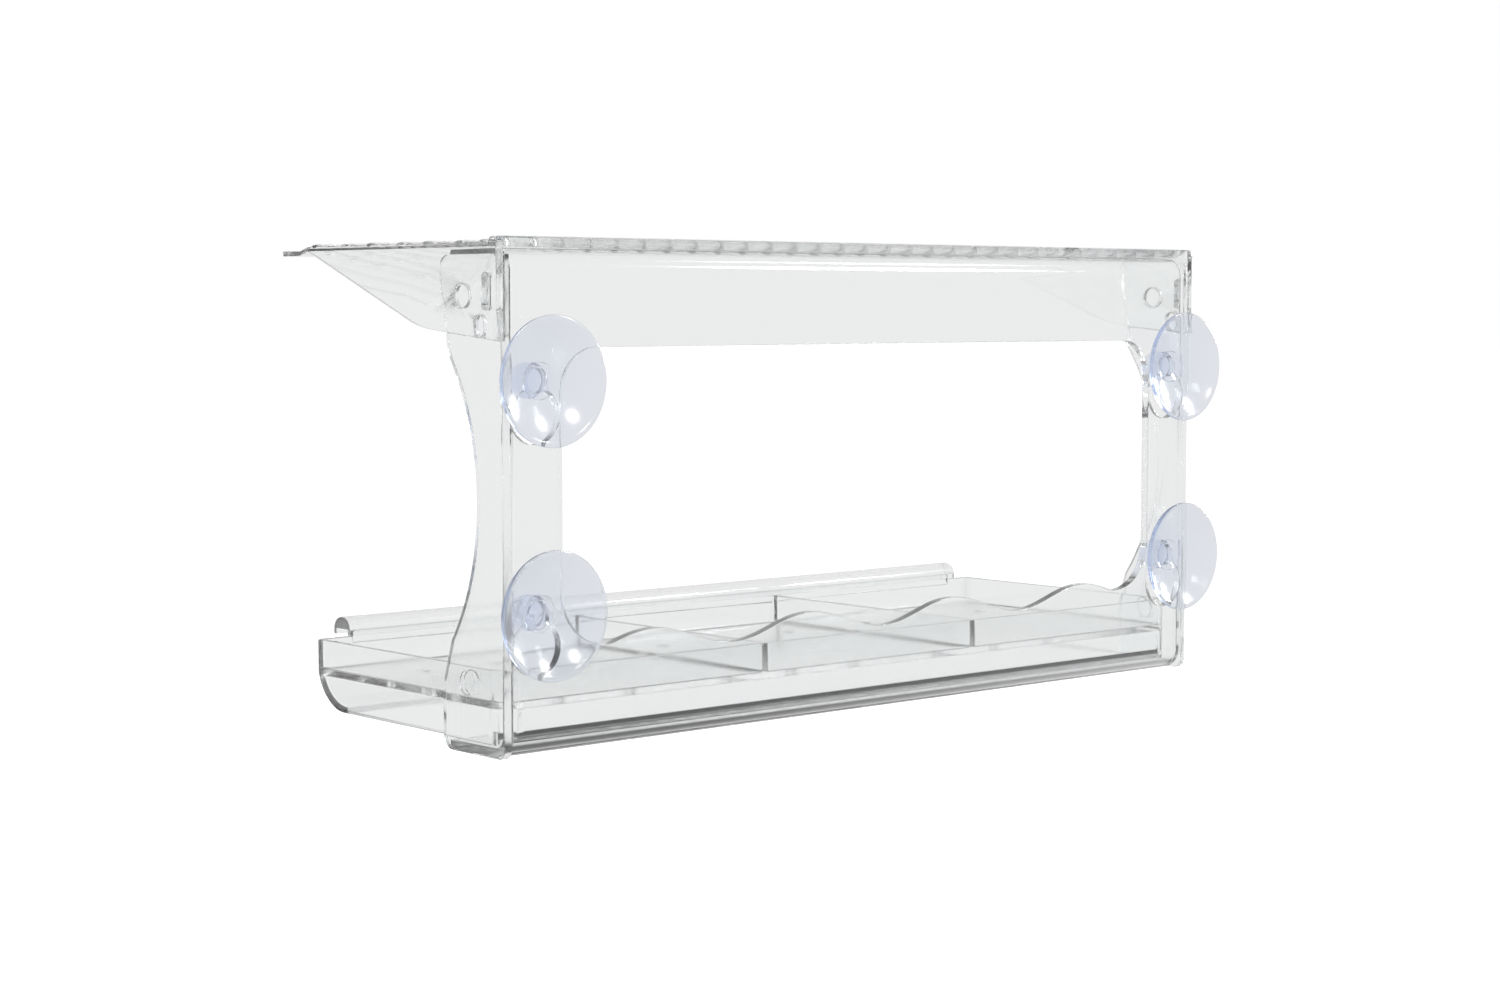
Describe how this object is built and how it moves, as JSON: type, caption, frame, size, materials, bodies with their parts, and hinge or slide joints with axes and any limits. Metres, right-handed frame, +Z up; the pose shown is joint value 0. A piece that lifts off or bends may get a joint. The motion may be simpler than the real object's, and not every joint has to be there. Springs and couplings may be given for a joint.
{
  "type": "window bird feeder",
  "caption": "Clear window bird feeder: a roofed housing that hangs on suction cups, with a compartmented seed tray that slides out and a perch rail along its front rim.",
  "frame": {"origin": "on the plane of the window glass, at the middle of the four suction cup lips", "axes": "+Z up, +Y towards the glass, +X along the housing; the birds feed at the -Y side"},
  "size_m": [0.314, 0.1243, 0.1488],
  "materials": {
    "housing_plastic": "clear, polished, injection moulded",
    "roof_plastic": "clear, polished, with a moulded tile relief",
    "tray_plastic": "clear, polished, injection moulded",
    "perch_plastic": "clear, polished",
    "cup_vinyl": "clear soft vinyl with a bluish cast"
  },
  "bodies": {
    "window_cups": {"suction_cup_upper_left": "cup_vinyl", "suction_cup_upper_right": "cup_vinyl", "suction_cup_lower_left": "cup_vinyl", "suction_cup_lower_right": "cup_vinyl"},
    "housing": {"rear_frame": "housing_plastic", "side_plate_left": "housing_plastic", "side_plate_right": "housing_plastic", "roof": "roof_plastic"},
    "tray": {"seed_tray": "tray_plastic"},
    "perch": {"perch_rail": "perch_plastic"}
  },
  "joints": [
    {"name": "housing_lift", "type": "slide", "parent": "window_cups", "child": "housing", "axis": [0, 0, 1], "range_m": [0, 0.01]},
    {"name": "tray_slide", "type": "slide", "parent": "housing", "child": "tray", "axis": [0, -1, 0], "range_m": [0, 0.112]},
    {"name": "perch_lift", "type": "slide", "parent": "tray", "child": "perch", "axis": [0, 0, 1], "range_m": [0, 0.01]}
  ]
}
